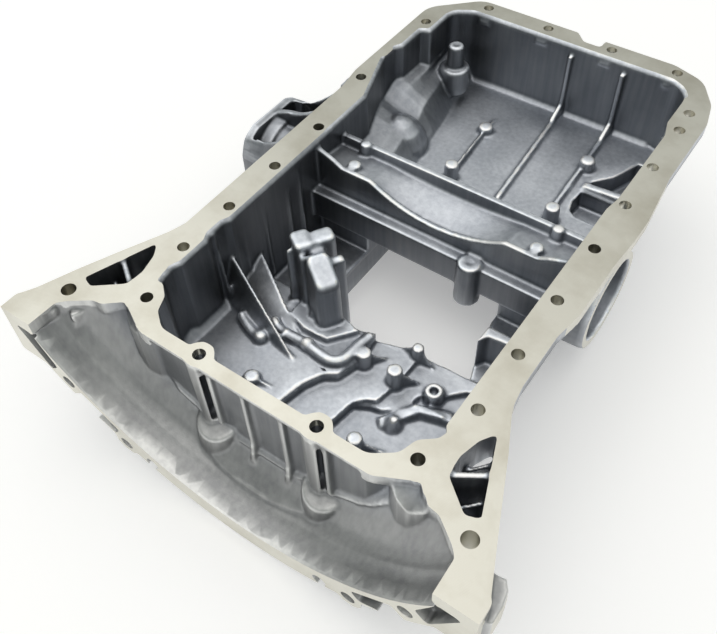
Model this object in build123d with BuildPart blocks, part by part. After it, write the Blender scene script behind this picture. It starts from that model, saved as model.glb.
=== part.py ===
from build123d import *
import math
import os

# Upper oil pan of a V engine, one aluminium die casting with a passage for a front axle.
# Z = 0 is the machined rail face that meets the crankcase, +Y runs from the bell end to the
# far end, and X = 0 is the crank line. The origin lies midway between the first rail bolts.

# Rail and tub, in millimetres
rail_thickness = 11.0
near_lip_thickness = 4.5
wall = 5.0
web = 4.0
rail_bolt_half_spacing = 120.0
rail_bolt_hole_r = 4.5
rail_bolt_boss_r = 9.0
near_boss_r = 9.5
near_column_depth = 80.0
channel_depth = 64.0
channel_width = 12.0
rail_bolt_boss_depth = 26.0
wing_bolt_hole_r = 5.4
near_edge_y = -72.5
near_opening_y = -62.0
opening_half_width = 110.0
far_opening_y = 370.0
far_edge_y = 391.0
near_floor_z = -96.0
far_floor_z = -71.0
floor_thickness = 5.0
lower_step_z = -86.0
upper_step_z = -76.0

# Cross member between the chambers
cross_wall_y = 142.0
cross_wall_thickness = 4.5
cross_ridge_y = 177.0
lip_z = -16.0
lip_crank_r = 114.0
trough_r = 118.0
trough_side_z = -20.0
trough_skin = 5.0
ridge_z = -16.0
ridge_foot_z = -25.0
beam_depth = 10.0
beam_top_z = -43.0
beam_bottom_z = -69.5
pickup_x = 39.0
pickup_r = 9.4
pickup_z = -41.0
pickup_depth = 39.0

# Bell end, turned about the crank axis
crank_height = 81.6
bell_face_y = -110.0
bell_flange_depth = 14.0
bell_inner_r = 186.0
bell_rim = 19.0
bell_outer_r = bell_inner_r + bell_rim
bell_lobe_r = 10.0
bell_half_width = 185.0
bell_skin = 4.5
bell_bolt_hole_r = 5.6
bell_pocket_depth = 10.0
wing_depth = 46.0
window_depth = 40.0

# Axle passage, along X
axle_y = 175.0
axle_z = -61.0
axle_bore_r = 24.0
axle_tube_r = 29.0
port_bore_r = 33.5
port_ring_r = 41.0
port_face_x = 136.0
port_bore_depth = 18.0
bracket_face_x = -188.0
bracket_plate = 7.0
bracket_size_y = 80.0
bracket_top_z = -24.0

# Flange of the lower sump
sump_face_z = -126.0
sump_flange_thickness = 8.0
sump_flange_width = 17.0
sump_corner = 8.0
sump_inner_x = (-64.0, 84.0)
sump_inner_y = (48.0, 212.0)
sump_bolt_hole_r = 3.4

# Plan outlines, as corner points (x, y, rounding radius)
rail_outline = [
    (157, bell_face_y, 0), (185, bell_face_y, 0), (184, -97, 0), (168, -60, 0), (150, -17, 40),
    (136.5, 12, 16), (134, 30, 0), (134, 76, 0), (138, 100, 0), (138, 150, 0), (140, 182, 0),
    (140, 204, 0), (135, 256, 0), (135, 330, 30), (129, 355, 24), (112, 382, 24),
    (84, far_edge_y, 18), (20, far_edge_y, 0), (20, 381, 0), (4, 381, 0), (-6, far_edge_y, 0),
    (-102, far_edge_y, 20), (-140, 354, 24), (-140, 238, 0), (-136, 214, 0), (-135, 18, 0),
    (-139.5, 4, 0), (-153, -25, 0), (-167, -57, 0), (-178, -85, 0), (-185, -97, 0),
    (-185, bell_face_y, 0), (-157, bell_face_y, 0), (-156.5, -87, 0), (-152, -82, 0),
    (-137, -71, 0), (-130, -70, 0), (-118, -60, 0), (-108, -64, 0), (-92, near_edge_y, 12),
    (92, near_edge_y, 12), (108, -64, 0), (118, -60, 0), (130, -70, 0), (137, -71, 0),
    (152, -82, 0), (156.5, -87, 0),
]
near_opening = [
    (opening_half_width, cross_wall_y, 0), (-opening_half_width, cross_wall_y, 0),
    (-opening_half_width, 40, 0), (-113, 34, 0), (-113, 20, 0), (-opening_half_width, 14, 0),
    (-opening_half_width, -12, 0), (-113, -19, 0), (-111, -31, 0), (-99, -41, 8), (-94, -53, 0),
    (-82, near_opening_y, 12), (82, near_opening_y, 12), (97, -51, 8), (101, -38, 8),
    (111, -30, 0), (113, -24, 0), (opening_half_width, -20, 0),
]
near_tub = [
    (opening_half_width + wall, cross_wall_y + wall, 0),
    (-opening_half_width - wall, cross_wall_y + wall, 0), (-opening_half_width - wall, -38, 0),
    (-98, -58, 0), (-84, near_opening_y - wall, 0), (84, near_opening_y - wall, 0),
    (102, -54, 0), (opening_half_width + wall, -38, 0),
]
far_opening = [
    (-opening_half_width, cross_wall_y - 1, 0), (opening_half_width, cross_wall_y - 1, 0),
    (opening_half_width, 200, 0), (112.5, 214, 0), (112.5, 300, 0), (108, 316, 0),
    (108, far_opening_y, 24), (-100, far_opening_y, 16), (-117.5, 360, 14), (-117.5, 323, 0),
    (-125.5, 319, 0), (-125.5, 291, 0), (-129.5, 284, 0), (-129.5, 266, 20), (-111, 213, 0),
]
floor_opening = [
    (-62, 60, 0), (-24, 56, 0), (-8, 57, 0), (2, 61, 0), (30, 70, 0), (40, 72.5, 0), (78, 74, 0),
    (73, 89, 0), (73, 105.5, 0), (63, 132, 0), (63, 174, 0), (-62, 174, 0),
]
wing_window = [
    (138, -8, 0), (131.5, -18, 0), (127.5, -33, 0), (128, -47, 0), (148, -63, 0), (157, -60, 0),
]
bell_pockets = [
    [(176, -12, 0), (161, -12, 0), (147, -41, 0), (156, -49, 0)],
    [(131, -59, 0), (101, -82, 0), (107, -90, 0), (126, -80, 0), (141, -68, 0)],
]

# Bolt holes
boss_bolts = [(side * rail_bolt_half_spacing, y) for side in (-1, 1) for y in (0, 49.5, 103, 159)]
boss_bolts += [(-108.5, -48.5), (108.5, -48.5)]
plain_bolts = [(-130, 232), (-128.7, 332.5), (119.5, 211), (119.5, 260), (119.5, 312), (118, 336)]
plain_bolts += [(-92, 382.5), (-31, 382.5), (30, 382.5), (89.5, 381.5)]
near_wall_bolts = [(-47, -64), (47, -64)]
bolt_channels = [(-43, -61), (49.6, -61)]
wing_bolts = [(-158, -73.5), (158, -73.5)]
bell_lobes = [(-98.5, -97), (98.5, -97)]
bell_bolts = bell_lobes + [(side * x, z) for side in (-1, 1) for x, z in ((141, -53.5), (75, -103))]

# Bell end: line of its inside, as distance along the crank line and radius about it
bell_line = [(bell_face_y, bell_inner_r), (-90, 183.4), (-80, 176), (-55, 141)]
corner_bulges = [(-98, -49.5, 21.5), (118, -50, 23)]
bulge_depth = 62.0
near_wall_ribs = [-51, -35, -7, 23.5, 41.7, 57.5]
gusset_ribs = [-7, 23.5]

# Near chamber: oil gallery posts and the steps of its floor
gallery_posts = [
    (-36, 49, 24, 15, -16), (-42, 63, 11, 18, -18), (-59, 78, 13, 15, -17), (-66, 66, 19, 11, -17),
    (-56, 50, 22, 6, -20), (-69, 53, 6, 16, -22),
]
upper_step = [
    (-120, -70, 0), (-25, -70, 0), (-19, -25, 0), (-15, -6, 0), (-8, 8, 0), (1, 14, 0), (7, 34, 0),
    (3, 62, 0), (-120, 62, 0),
]
lower_step = [
    (-30, -70, 0), (9, -70, 0), (15.5, -25, 0), (20, 5, 0), (27, 13, 0), (34, 16, 0), (37, 32, 0),
    (40, 75, 0), (-30, 75, 0),
]
floor_hollow = [
    (-105, 40, 0), (-105, -32, 0), (-90, -50, 0), (-34, -50, 0), (-26, 0, 0), (-26, 40, 0),
]

# Far chamber: ribs on the far wall that run on across the floor
far_ribs = [((0, 368), (9, 232)), ((49, 368), (54, 232))]

# Two wells in the far floor on the right, with a ridge between them, and the block below them
well_floor_z = -88.0
well_block = [(58, 247, 0), (opening_half_width + wall, 247, 0), (opening_half_width + wall, 347, 0), (58, 347, 0)]
far_wells = [
    [(64, 296, 0), (80, 315, 0), (87, 333, 0), (90, 342, 0), (108, 342, 0), (108, 296, 0)],
    [(64, 283, 0), (63, 268, 0), (66, 257, 0), (73, 252.5, 0), (108, 252.5, 0), (108, 283, 0)],
]


def rounded_outline(corners):
    """Closed line through corner points (x, y, rounding radius)."""
    points = [(x, y) for x, y, radius in corners]
    return FilletPolyline(*points, radius=[radius for x, y, radius in corners], close=True)


def plan_of(corners, height=0.0, growth=0.0):
    """Sketch of a plan outline at a height, grown sideways by a wall if asked."""
    with BuildSketch(Plane.XY.offset(height)) as plan:
        with BuildLine():
            rounded_outline(corners)
        make_face()
        if growth:
            offset(amount=growth, kind=Kind.INTERSECTION)
    return plan.sketch


def mirrored(corners):
    """The same outline on the other side of the crank line."""
    return [(-x, y, radius) for x, y, radius in reversed(corners)]


with BuildPart() as bell_space:
    # Room swept about the crank axis for the flywheel, open at the bell face
    crank_axis = Axis((0, 0, crank_height), (0, 1, 0))
    with BuildSketch(Plane.YZ):
        with BuildLine():
            inside = [(y, crank_height - r) for y, r in bell_line]
            Polyline(*inside, (bell_line[-1][0], crank_height), (bell_face_y, crank_height), close=True)
        make_face()
    revolve(axis=crank_axis, revolution_arc=360)

with BuildPart() as bell_shell:
    # Skin round that space, and the flange ring with its flat face and bolt lobes
    with BuildSketch(Plane.YZ):
        with BuildLine():
            outside = [(bell_line[-1][0] + bell_skin, crank_height - bell_line[-1][1] - 2),
                       (bell_line[1][0] + 3, crank_height - bell_line[1][1] - bell_skin),
                       (bell_face_y, crank_height - bell_inner_r - bell_skin)]
            Polyline(*inside, *outside, close=True)
        make_face()
    revolve(axis=crank_axis, revolution_arc=360)
    with BuildSketch(Plane.XZ.offset(-bell_face_y)):
        with Locations((0, crank_height)):
            Circle(bell_outer_r)
            Circle(bell_inner_r, mode=Mode.SUBTRACT)
        with Locations(*bell_lobes):
            RegularPolygon(bell_lobe_r, 8, major_radius=False, rotation=22.5)
    extrude(amount=-bell_flange_depth)
    with BuildSketch(Plane.XY):
        with Locations((0, bell_face_y)):
            Rectangle(2 * bell_half_width, 80, align=(Align.CENTER, Align.MIN))
    extrude(amount=sump_face_z, mode=Mode.INTERSECT)

with BuildPart() as bell_end:
    # Side wings under the rail, which grow deeper towards the bell
    extrude(plan_of(rail_outline), amount=-wing_depth)
    with BuildSketch(Plane.YZ):
        with BuildLine():
            Polyline((bell_face_y, 0), (22, 0), (22, -rail_thickness), (-50, -wing_depth),
                     (bell_face_y, -wing_depth), close=True)
        make_face()
    extrude(amount=bell_half_width + wall, both=True, mode=Mode.INTERSECT)
    add(bell_shell.part)
    add(bell_space.part, mode=Mode.SUBTRACT)

    # Round corner walls of the near chamber, standing in the bell
    with BuildSketch(Plane.XY):
        for x, y, radius in corner_bulges:
            with Locations((x, y)):
                RegularPolygon(radius, 16, major_radius=False)
    extrude(amount=-bulge_depth)

    # Pockets and bolt holes of the bell face
    with BuildSketch(Plane.XZ.offset(-bell_face_y)):
        for corners in bell_pockets + [mirrored(corners) for corners in bell_pockets]:
            with BuildLine():
                rounded_outline(corners)
            make_face()
    extrude(amount=-bell_pocket_depth, mode=Mode.SUBTRACT)
    with BuildSketch(Plane.XZ.offset(-bell_face_y)):
        with Locations(*bell_bolts):
            Circle(bell_bolt_hole_r)
    extrude(amount=-bell_flange_depth - 1, mode=Mode.SUBTRACT)

with BuildPart() as cross_member:
    # Trough skin between the sagging front lip and the straight ridge behind it
    flat_from = math.sqrt(trough_r**2 - (crank_height - trough_side_z)**2)
    reach = opening_half_width + 1
    for plane_y, side_z, low_z in ((cross_wall_y + 3, trough_side_z, crank_height - trough_r),
                                   (cross_ridge_y + 1, ridge_foot_z, ridge_foot_z - 2)):
        with BuildSketch(Plane.XZ.offset(-plane_y)):
            with BuildLine():
                ThreePointArc((-flat_from, side_z), (0, low_z), (flat_from, side_z))
                Polyline((flat_from, side_z), (reach, side_z), (reach, side_z - trough_skin),
                         (flat_from, side_z - trough_skin), (flat_from, low_z - trough_skin),
                         (-flat_from, low_z - trough_skin), (-flat_from, side_z - trough_skin),
                         (-reach, side_z - trough_skin), (-reach, side_z), (-flat_from, side_z))
            make_face()
    loft(ruled=True)

    # Front wall with the sagging lip, and the ridge wall
    with BuildSketch(Plane.XZ.offset(-cross_wall_y)):
        lip_half = math.sqrt(lip_crank_r**2 - (crank_height - lip_z)**2)
        with BuildLine():
            ThreePointArc((-lip_half, lip_z), (0, crank_height - lip_crank_r), (lip_half, lip_z))
            Polyline((lip_half, lip_z), (86, lip_z), (95, -11), (107, -6.5), (reach, -5),
                     (reach, beam_bottom_z), (-reach, beam_bottom_z), (-reach, -5), (-107, -6.5),
                     (-95, -11), (-86, lip_z), (-lip_half, lip_z))
        make_face()
    extrude(amount=-cross_wall_thickness)
    with BuildSketch(Plane.XY.offset(ridge_z)):
        with Locations((0, cross_ridge_y)):
            Rectangle(2 * reach, wall, align=(Align.CENTER, Align.MIN))
    extrude(amount=far_floor_z - 2 - ridge_z)

    # Beam across the far edge of the floor opening, with the pillar of the oil pickup
    with BuildSketch(Plane.XY.offset(beam_top_z)):
        with Locations((0, cross_wall_y + 1)):
            Rectangle(2 * reach, beam_depth + 1, align=(Align.CENTER, Align.MAX))
    extrude(amount=beam_bottom_z - beam_top_z)
    with BuildSketch(Plane.XY.offset(pickup_z)):
        with Locations((pickup_x, cross_wall_y - beam_depth + 1)):
            Circle(pickup_r)
    extrude(amount=-pickup_depth)

with BuildPart() as axle_passage:
    # Tube along X, ring of the right port, plate of the left bracket
    for start_x, end_x, radius in ((bracket_face_x, port_face_x, axle_tube_r),
                                   (opening_half_width, port_face_x, port_ring_r)):
        with BuildSketch(Plane.YZ.offset(start_x)):
            with Locations((axle_y, axle_z)):
                Circle(radius)
        extrude(amount=end_x - start_x)
    with BuildSketch(Plane.YZ.offset(bracket_face_x)):
        with Locations((axle_y, axle_z)):
            RectangleRounded(bracket_size_y, 2 * (bracket_top_z - axle_z), 6)
    extrude(amount=bracket_plate)

    # Webs that carry the bracket on the tub wall
    for y in (axle_y - bracket_size_y / 2, axle_y + 4, axle_y + bracket_size_y / 2 - web):
        with BuildSketch(Plane.XZ.offset(-y)):
            with BuildLine():
                Polyline((-opening_half_width - 1, -8), (-137, -8), (bracket_face_x + 1, bracket_top_z - 1),
                         (bracket_face_x + 1, -92), (-opening_half_width - 1, -72), close=True)
            make_face()
        extrude(amount=-web)

with BuildPart() as floor_details:
    # Steps of the near floor, whose terraces fall away from the left
    for corners, top_z in ((upper_step, upper_step_z), (lower_step, lower_step_z)):
        with BuildSketch(Plane.XY.offset(near_floor_z - 1)):
            add(plan_of(near_opening, growth=1))
            add(plan_of(corners), mode=Mode.INTERSECT)
            add(plan_of(floor_opening), mode=Mode.SUBTRACT)
        extrude(amount=top_z - near_floor_z + 1)

    # Gallery posts, and the ribs of the far wall that run on across its floor
    for x, y, size_x, size_y, top_z in gallery_posts:
        with BuildSketch(Plane.XY.offset(top_z)):
            with Locations((x, y)):
                Rectangle(size_x, size_y)
        extrude(amount=near_floor_z - 1 - top_z)
    with BuildSketch(Plane.XY.offset(far_floor_z - 1)):
        for (x0, y0), (x1, y1) in far_ribs:
            with BuildLine():
                Polyline((x0 - web / 2, y0), (x0 + web / 2, y0), (x1 + web / 2, y1), (x1 - web / 2, y1),
                         close=True)
            make_face()
    extrude(amount=5)
    with BuildSketch(Plane.XY.offset(far_floor_z - 1)):
        with Locations(*[(x0, far_opening_y + 1) for (x0, y0), (x1, y1) in far_ribs]):
            Rectangle(web, 6, align=(Align.CENTER, Align.MAX))
    extrude(amount=-8 - far_floor_z)

with BuildPart() as wall_ribs:
    # Upright ribs of the near wall, two of which run out into gussets
    for x in near_wall_ribs:
        with BuildSketch(Plane.YZ.offset(x - web / 2)):
            with BuildLine():
                foot_z = -90 if x in gusset_ribs else -64
                Polyline((near_opening_y - 1, -1), (near_edge_y + 0.5, -1), (near_edge_y + 0.5, -60),
                         (near_edge_y - (3.5 if x in gusset_ribs else 0), foot_z),
                         (near_opening_y - 1, foot_z), close=True)
            make_face()
        extrude(amount=web)

with BuildPart() as oil_pan_casting:
    # Bell end, and the tub walls at one wall's distance round the openings
    add(bell_end.part)
    extrude(plan_of(near_tub), amount=near_floor_z - floor_thickness)
    extrude(plan_of(far_opening, growth=wall), amount=far_floor_z - floor_thickness)
    extrude(plan_of(well_block, height=far_floor_z), amount=well_floor_z - floor_thickness - far_floor_z)

    # Skirt below the near chamber, down to the flange of the lower sump
    sump_size = (sump_inner_x[1] - sump_inner_x[0], sump_inner_y[1] - sump_inner_y[0])
    sump_centre = ((sump_inner_x[0] + sump_inner_x[1]) / 2, (sump_inner_y[0] + sump_inner_y[1]) / 2)
    for margin, height, mode in ((wall, far_floor_z - sump_face_z - 1, Mode.ADD),
                                 (sump_flange_width, sump_flange_thickness, Mode.ADD),
                                 (0, near_floor_z - floor_thickness - sump_face_z, Mode.SUBTRACT)):
        with BuildSketch(Plane.XY.offset(sump_face_z)):
            with Locations(sump_centre):
                rim = Rectangle(sump_size[0] + 2 * margin, sump_size[1] + 2 * margin)
            chamfer(rim.vertices(), sump_corner + margin / 2)
        extrude(amount=height, mode=mode)
    with BuildSketch(Plane.XY.offset(sump_face_z)):
        with Locations(sump_centre):
            with GridLocations(sump_size[0] + sump_flange_width, sump_size[1], 2, 2):
                Circle(sump_bolt_hole_r)
    extrude(amount=sump_flange_thickness + 1, mode=Mode.SUBTRACT)

    # Rail plate with the triangular windows of its wings, and bosses under its bolts
    extrude(plan_of(rail_outline), amount=-rail_thickness)
    with BuildSketch(Plane.XY):
        for corners in (wing_window, mirrored(wing_window)):
            add(plan_of(corners))
    extrude(amount=-window_depth, mode=Mode.SUBTRACT)
    with BuildSketch(Plane.XY):
        with Locations(*boss_bolts):
            RegularPolygon(rail_bolt_boss_r, 8, major_radius=False, rotation=22.5)
    extrude(amount=-rail_bolt_boss_depth)

    # Chamber spaces, and the opening in the floor, which runs on under the cross member
    extrude(plan_of(near_opening), amount=near_floor_z, mode=Mode.SUBTRACT)
    extrude(plan_of(far_opening), amount=far_floor_z, mode=Mode.SUBTRACT)
    for corners in far_wells:
        extrude(plan_of(corners, height=far_floor_z + 1), amount=well_floor_z - far_floor_z - 1,
                mode=Mode.SUBTRACT)
    extrude(plan_of(floor_opening, height=far_floor_z + 1),
            amount=near_floor_z - floor_thickness - far_floor_z - 2, mode=Mode.SUBTRACT)

    # The near rail stands out as a thin lip over the recessed wall
    with BuildSketch(Plane.XY.offset(-near_lip_thickness)):
        with Locations((0, near_edge_y - 1)):
            Rectangle(2 * 84, near_opening_y - wall - near_edge_y + 1, align=(Align.CENTER, Align.MIN))
    extrude(amount=-40, mode=Mode.SUBTRACT)
    with BuildSketch(Plane.XY):
        with Locations(*near_wall_bolts):
            RegularPolygon(near_boss_r, 8, major_radius=False, rotation=22.5)
    extrude(amount=-near_column_depth)
    with BuildSketch(Plane.XY.offset(-rail_thickness)):
        with Locations(*bolt_channels):
            Rectangle(channel_width, near_boss_r + 1, align=(Align.CENTER, Align.MAX))
    extrude(amount=rail_thickness - channel_depth, mode=Mode.SUBTRACT)

    # Everything that stands in the chambers and on the walls
    add(wall_ribs.part)
    add(floor_details.part)
    add(cross_member.part)
    add(axle_passage.part)

    # Hollow under the upper step, which keeps the floor as thin as the walls
    extrude(plan_of(floor_hollow, height=near_floor_z - floor_thickness),
            amount=upper_step_z - near_floor_z, mode=Mode.SUBTRACT)

    # Bores and bolt holes
    for start_x, end_x, radius in ((bracket_face_x, port_face_x, axle_bore_r),
                                   (port_face_x - port_bore_depth, port_face_x, port_bore_r)):
        with BuildSketch(Plane.YZ.offset(start_x)):
            with Locations((axle_y, axle_z)):
                Circle(radius)
        extrude(amount=end_x - start_x, mode=Mode.SUBTRACT)
    for spots, radius, depth in ((plain_bolts, rail_bolt_hole_r, rail_thickness),
                                 (boss_bolts + near_wall_bolts, rail_bolt_hole_r, rail_bolt_boss_depth),
                                 (wing_bolts, wing_bolt_hole_r, wing_depth)):
        with BuildSketch(Plane.XY):
            with Locations(*spots):
                Circle(radius)
        extrude(amount=-depth, mode=Mode.SUBTRACT)

oil_pan_casting.part.label = "oil_pan_casting"
os.makedirs("parts", exist_ok=True)
export_step(oil_pan_casting.part, "parts/oil_pan_casting.step")
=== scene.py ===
import math
import bmesh
import bpy
import numpy as np
from mathutils import Matrix, Vector
from mathutils.kdtree import KDTree


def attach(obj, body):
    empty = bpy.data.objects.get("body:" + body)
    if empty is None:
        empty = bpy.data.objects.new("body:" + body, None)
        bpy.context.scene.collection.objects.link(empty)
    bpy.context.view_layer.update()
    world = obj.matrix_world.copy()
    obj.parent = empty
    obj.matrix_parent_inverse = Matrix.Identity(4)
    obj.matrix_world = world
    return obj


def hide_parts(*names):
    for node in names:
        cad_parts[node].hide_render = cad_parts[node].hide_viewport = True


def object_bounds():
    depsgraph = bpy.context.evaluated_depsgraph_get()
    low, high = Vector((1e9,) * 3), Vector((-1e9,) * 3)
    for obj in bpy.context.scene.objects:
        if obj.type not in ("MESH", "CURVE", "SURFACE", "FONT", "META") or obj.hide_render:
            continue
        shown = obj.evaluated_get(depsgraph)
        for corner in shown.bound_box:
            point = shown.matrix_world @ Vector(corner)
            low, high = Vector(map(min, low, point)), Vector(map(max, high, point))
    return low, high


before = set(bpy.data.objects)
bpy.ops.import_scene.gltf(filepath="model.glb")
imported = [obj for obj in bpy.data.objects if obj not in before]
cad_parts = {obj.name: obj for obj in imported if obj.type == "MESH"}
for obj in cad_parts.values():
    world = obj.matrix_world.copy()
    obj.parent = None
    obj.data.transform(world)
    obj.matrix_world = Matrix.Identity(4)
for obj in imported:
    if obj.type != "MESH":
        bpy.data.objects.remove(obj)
cad_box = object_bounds()

# Camera and studio. The part lies on a pale table and is looked down on from above the right
# corner of its bell end, from about half a metre. The light is a broad white ceiling, darker
# towards the walls of the room, with one soft box on the left.
mm = 0.001
camera_place = Vector((226.85, -253.90, 427.38)) * mm
camera_azimuth = math.radians(37.357)
camera_elevation = math.radians(51.355)
camera_roll = math.radians(-2.523)
camera_data = bpy.data.cameras.new("camera")
camera_data.sensor_width = 36.0
camera_data.lens = 41.948
camera_data.clip_start = 0.01
camera = bpy.data.objects.new("camera", camera_data)
bpy.context.scene.collection.objects.link(camera)
level = math.cos(camera_elevation)
forward = Vector((-math.sin(camera_azimuth) * level, math.cos(camera_azimuth) * level,
                  -math.sin(camera_elevation)))
turned = forward.to_track_quat("-Z", "Y").to_matrix().to_4x4() @ Matrix.Rotation(camera_roll, 4, "Z")
camera.matrix_world = Matrix.Translation(camera_place) @ turned
bpy.context.scene.camera = camera

table_mesh = bpy.data.meshes.new("table")
table_half = 2.0
table_z = cad_box[0][2] - 0.0002
table_mesh.from_pydata([(x, y, table_z) for x, y in ((-table_half, -table_half), (table_half, -table_half),
                                                     (table_half, table_half), (-table_half, table_half))],
                       [], [(0, 1, 2, 3)])
table = bpy.data.objects.new("table", table_mesh)
bpy.context.scene.collection.objects.link(table)
table_paint = bpy.data.materials.new("table_paint")
table_paint.use_nodes = True
table_shader = table_paint.node_tree.nodes["Principled BSDF"]
table_shader.inputs["Base Color"].default_value = (0.88, 0.88, 0.88, 1.0)
table_shader.inputs["Emission Color"].default_value = (1.0, 1.0, 1.0, 1.0)
table_shader.inputs["Emission Strength"].default_value = 0.3
table_shader.inputs["Roughness"].default_value = 0.7
table_mesh.materials.append(table_paint)

room = bpy.data.worlds.new("room")
bpy.context.scene.world = room
room.use_nodes = True
room_nodes = room.node_tree.nodes
room_links = room.node_tree.links
sky_way = room_nodes.new("ShaderNodeTexCoord")
sky_parts = room_nodes.new("ShaderNodeSeparateXYZ")
sky_ramp = room_nodes.new("ShaderNodeValToRGB")
sky_ramp.color_ramp.elements[0].position = 0.0
sky_ramp.color_ramp.elements[0].color = (0.26, 0.275, 0.27, 1.0)
sky_ramp.color_ramp.elements[1].position = 0.92
sky_ramp.color_ramp.elements[1].color = (1.0, 0.99, 0.96, 1.0)
sky_middle = sky_ramp.color_ramp.elements.new(0.5)
sky_middle.color = (0.36, 0.375, 0.36, 1.0)
room_links.new(sky_way.outputs["Generated"], sky_parts.inputs["Vector"])
room_links.new(sky_parts.outputs["Z"], sky_ramp.inputs["Fac"])
room_links.new(sky_ramp.outputs["Color"], room_nodes["Background"].inputs["Color"])
room_nodes["Background"].inputs["Strength"].default_value = 1.15


def soft_box(name, place, aim, size, power):
    """A square area light at place, in metres, turned towards aim."""
    light_data = bpy.data.lights.new(name, "AREA")
    light_data.size = size
    light_data.energy = power
    light = bpy.data.objects.new(name, light_data)
    bpy.context.scene.collection.objects.link(light)
    turn = (Vector(aim) - Vector(place)).to_track_quat("-Z", "Y")
    light.matrix_world = Matrix.Translation(place) @ turn.to_matrix().to_4x4()


soft_box("left_soft_box", (-0.9, 0.3, 1.3), (0.0, 0.15, 0.0), 1.2, 2.0)
bpy.context.scene.view_settings.view_transform = "Standard"

# Near wall of the casting. Under the thin lip of the rail the wall has two half-round feet with a
# bolt hole, a raised pad on the bell skin in front of them, and fillets where the wall meets the bell.
added_forms = []


def lofted(name, rings):
    """A closed body through rings of corner points, in millimetres, flat at both ends."""
    count = len(rings[0])
    points = [Vector(point) * mm for ring in rings for point in ring]
    faces = [tuple(reversed(range(count))), tuple(range(len(points) - count, len(points)))]
    for start in range(0, len(points) - count, count):
        faces += [(start + i, start + (i + 1) % count, start + (i + 1) % count + count, start + i + count)
                  for i in range(count)]
    mesh = bpy.data.meshes.new(name)
    mesh.from_pydata(points, [], faces)
    form = bmesh.new()
    form.from_mesh(mesh)
    bmesh.ops.recalc_face_normals(form, faces=form.faces)
    form.to_mesh(mesh)
    form.free()
    added_forms.append(mesh)


def round_ring(x, y, z, radius):
    """A level ring of points around a place."""
    corners = 36
    turns = [2 * math.pi * i / corners for i in range(corners)]
    return [(x + radius * math.cos(a), y + radius * math.sin(a), z) for a in turns]


def drilled_boss(name, x, y, radius, hole_radius, foot, top, hole_depth):
    """A round boss with a blind hole in its top."""
    ease = 1.0
    lofted(name, [round_ring(x, y, foot, radius + 1.0), round_ring(x, y, top - ease, radius),
                  round_ring(x, y, top, radius - ease), round_ring(x, y, top, hole_radius),
                  round_ring(x, y, top - hole_depth, hole_radius),
                  round_ring(x, y, top - hole_depth, 0.1)])


def strip(name, path, sides):
    """A three-sided strip along a path; sides gives how far it reaches out and up from the path."""
    buried = 2
    rings = []
    for i, point in enumerate(path):
        way = Vector(path[min(i + 1, len(path) - 1)]) - Vector(path[max(i - 1, 0)])
        left = Vector((-way.y, way.x, 0)).normalized()
        back = Vector(point) - left * buried - Vector((0, 0, buried))
        rings.append([back, Vector(point) + left * sides[0] - Vector((0, 0, buried / 2)),
                      Vector(point) - left * (buried / 2) + Vector((0, 0, sides[1]))])
    lofted(name, rings)


crank_z = 81.6
bell_line = [(-110, 186), (-90, 183.4), (-80, 176), (-55, 141)]


def bell_height(x, y):
    """Height of the bell skin's inside at a place in the plan, from its radius around the crank."""
    for (y0, r0), (y1, r1) in zip(bell_line, bell_line[1:]):
        if y0 <= y <= y1:
            bell_r = r0 + (r1 - r0) * (y - y0) / (y1 - y0)
            return crank_z - math.sqrt(bell_r ** 2 - x ** 2)
    return 0.0


def half_round_ring(x, y, z, radius, tilt=0.0):
    """A ring with its back cut off flat in the tub wall's plane; tilt lowers its front, per mm."""
    wall_plane = -64.0
    return [(px, min(py, wall_plane), z + tilt * (min(py, wall_plane) - y))
            for px, py, pz in round_ring(x, y, z, radius)]


wall_foot_r = 16.5
wall_foot_hole_r = 4.2
wall_foot_tilt = 0.35
for x, y in ((-42, -66.5), (51, -66.5)):
    lofted("wall_foot", [half_round_ring(x, y, -97, wall_foot_r + 2.5),
                         half_round_ring(x, y, -84, wall_foot_r + 0.5),
                         half_round_ring(x, y, -68.5, wall_foot_r, wall_foot_tilt),
                         half_round_ring(x, y, -67, wall_foot_r - 1.5, wall_foot_tilt),
                         half_round_ring(x, y, -67, wall_foot_hole_r, wall_foot_tilt),
                         half_round_ring(x, y, -75, wall_foot_hole_r), half_round_ring(x, y, -75, 0.1)])
lip_holes = [(-47, -64), (47, -64)]
rail_hole_r = 4.5
lip_boss_r = 9.8
for x, y in lip_holes:
    lofted("lip_boss", [round_ring(x, y, -4.5, rail_hole_r), round_ring(x, y, -4.5, lip_boss_r),
                        round_ring(x, y, 3, lip_boss_r), round_ring(x, y, 3, rail_hole_r),
                        round_ring(x, y, -4.5, rail_hole_r)])
pad_lip = [(-46, -83), (-40.4, -85.3), (-30, -87), (-16, -88.2), (-2.6, -88.8), (10, -88.4), (21.6, -87.4),
           (33, -86), (42.5, -84.5), (50, -82)]
pad_lip_height = 4.0
pad_middle_y = -78
pad_back_y = -67
pad_rings = []
for x, y in pad_lip:
    front = bell_height(x, y)
    middle = bell_height(x, pad_middle_y)
    back = bell_height(x, pad_back_y)
    pad_rings.append([(x, y, front - 3), (x, y + 0.8, front + pad_lip_height),
                      (x, pad_middle_y, middle + 3.2), (x, pad_back_y, back + 1.5),
                      (x, pad_back_y, back - 3), (x, pad_middle_y, middle - 3)])
lofted("bell_pad", pad_rings)
foot_line = [(99, -64), (90, -66), (80, -67), (60, -67), (29, -67), (-23, -67), (-59.6, -67),
             (-73.8, -66.7), (-80, -64), (-84, -62)]
strip("wall_fillet", [(x, y, bell_height(x, y)) for x, y in foot_line], (4.0, 4.0))

# Wings and lugs. The side wings have triangular windows with a web across, and small cast lugs
# stand out from the rail's sides, where the die's ejectors and clamps hold the part.


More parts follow.
